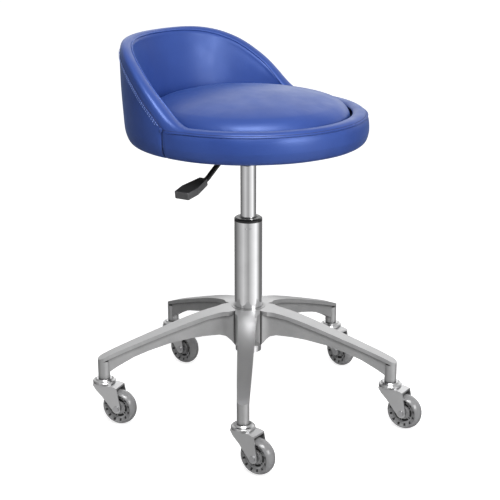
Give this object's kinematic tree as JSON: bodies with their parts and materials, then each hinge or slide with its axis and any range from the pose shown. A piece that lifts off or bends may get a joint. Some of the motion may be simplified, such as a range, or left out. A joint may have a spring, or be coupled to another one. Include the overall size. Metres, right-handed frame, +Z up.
{
  "type": "dentist stool",
  "caption": "Round upholstered stool with a low wrap-round back rest on a height-adjustable gas column and a star base with swivel casters.",
  "frame": {"origin": "on the floor, under the axis of the column", "axes": "+Z up along the column's axis, -Y the way the sitter faces, -X the side the lift lever is on"},
  "size_m": [0.5392, 0.5856, 0.671],
  "materials": {
    "blue_vinyl": "satin",
    "plywood": "matte",
    "black_cloth": "matte",
    "black_steel": "satin",
    "black_rod": "gloss",
    "black_plastic": "satin",
    "chrome": "polished",
    "fork_chrome": "polished",
    "steel": "satin",
    "rubber": "matte",
    "polished_alloy": "polished",
    "grey_plastic": "satin",
    "grey_tyre": "satin"
  },
  "bodies": {
    "base": {"star_base": "polished_alloy", "column_tube": "chrome", "guide_bush": "black_plastic", "bearing_lower_race": "steel", "bearing_balls": "steel", "caster_stems": "steel", "grip_rings": "steel", "caster_caps": "chrome", "swivel_ball_rings": "steel"},
    "piston": {"piston_rod": "steel", "piston": "steel", "rod_clip": "steel", "bearing_upper_race": "steel", "bump_stop": "rubber"},
    "seat": {"seat_board": "plywood", "seat_cushion": "blue_vinyl", "seat_ring": "blue_vinyl", "back_frame": "plywood", "back_inner_pad": "blue_vinyl", "back_outer_pad": "blue_vinyl", "back_screws": "steel", "dust_cover": "black_cloth", "seat_plate": "black_steel", "lever_pivot_pin": "steel", "plate_bolts": "steel", "tee_nuts": "steel", "gas_cylinder": "chrome", "rod_guide": "steel"},
    "lever": {"lever_rod": "black_rod", "lever_handle": "black_plastic"},
    "valve": {"release_pin": "steel"},
    "caster_fork_1": {"fork_1": "fork_chrome", "axle_1": "steel"},
    "caster_wheel_1": {"wheel_core_1": "grey_plastic", "tyre_1": "grey_tyre", "wheel_bearings_1": "steel"},
    "caster_fork_2": {"fork_2": "fork_chrome", "axle_2": "steel"},
    "caster_wheel_2": {"wheel_core_2": "grey_plastic", "tyre_2": "grey_tyre", "wheel_bearings_2": "steel"},
    "caster_fork_3": {"fork_3": "fork_chrome", "axle_3": "steel"},
    "caster_wheel_3": {"wheel_core_3": "grey_plastic", "tyre_3": "grey_tyre", "wheel_bearings_3": "steel"},
    "caster_fork_4": {"fork_4": "fork_chrome", "axle_4": "steel"},
    "caster_wheel_4": {"wheel_core_4": "grey_plastic", "tyre_4": "grey_tyre", "wheel_bearings_4": "steel"},
    "caster_fork_5": {"fork_5": "fork_chrome", "axle_5": "steel"},
    "caster_wheel_5": {"wheel_core_5": "grey_plastic", "tyre_5": "grey_tyre", "wheel_bearings_5": "steel"}
  },
  "joints": [
    {"name": "seat_swivel", "type": "hinge", "parent": "base", "child": "piston", "pos_m": [0, 0, 0.11], "axis": [0, 0, 1], "continuous": true},
    {"name": "seat_height", "type": "slide", "parent": "piston", "child": "seat", "axis": [0, 0, 1], "range_m": [-0.078, 0.042]},
    {"name": "lever_rock", "type": "hinge", "parent": "seat", "child": "lever", "pos_m": [-0.038, 0, 0.4829], "axis": [0, 1, 0], "range_deg": [0, 6], "stiffness_Nm_per_rad": 0.4},
    {"name": "valve_press", "type": "slide", "parent": "seat", "child": "valve", "axis": [0, 0, -1], "range_m": [0, 0.0043]},
    {"name": "fork_swivel_1", "type": "hinge", "parent": "base", "child": "caster_fork_1", "pos_m": [0.11187, 0.2421, 0.075], "axis": [0, 0, 1], "continuous": true},
    {"name": "wheel_spin_1", "type": "hinge", "parent": "caster_fork_1", "child": "caster_wheel_1", "pos_m": [0.10718, 0.21247, 0.03175], "axis": [0.9877, -0.1564, 0], "continuous": true},
    {"name": "fork_swivel_2", "type": "hinge", "parent": "base", "child": "caster_fork_2", "pos_m": [-0.19569, 0.18121, 0.075], "axis": [0, 0, 1], "continuous": true},
    {"name": "wheel_spin_2", "type": "hinge", "parent": "caster_fork_2", "child": "caster_wheel_2", "pos_m": [-0.19151, 0.1515, 0.03175], "axis": [0.9903, 0.1392, 0], "continuous": true},
    {"name": "fork_swivel_3", "type": "hinge", "parent": "base", "child": "caster_fork_3", "pos_m": [-0.23281, -0.13011, 0.075], "axis": [0, 0, 1], "continuous": true},
    {"name": "wheel_spin_3", "type": "hinge", "parent": "caster_fork_3", "child": "caster_wheel_3", "pos_m": [-0.23542, -0.16, 0.03175], "axis": [0.9962, -0.0872, 0], "continuous": true},
    {"name": "fork_swivel_4", "type": "hinge", "parent": "base", "child": "caster_fork_4", "pos_m": [0.0518, -0.26162, 0.075], "axis": [0, 0, 1], "continuous": true},
    {"name": "wheel_spin_4", "type": "hinge", "parent": "caster_fork_4", "child": "caster_wheel_4", "pos_m": [0.05076, -0.2916, 0.03175], "axis": [0.9994, -0.0349, 0], "continuous": true},
    {"name": "fork_swivel_5", "type": "hinge", "parent": "base", "child": "caster_fork_5", "pos_m": [0.26482, -0.03158, 0.075], "axis": [0, 0, 1], "continuous": true},
    {"name": "wheel_spin_5", "type": "hinge", "parent": "caster_fork_5", "child": "caster_wheel_5", "pos_m": [0.25506, -0.05994, 0.03175], "axis": [0.9455, -0.3256, 0], "continuous": true}
  ],
  "couplings": [
    {"joint": "valve_press", "follows": "lever_rock", "m_per_rad": 0.04}
  ]
}
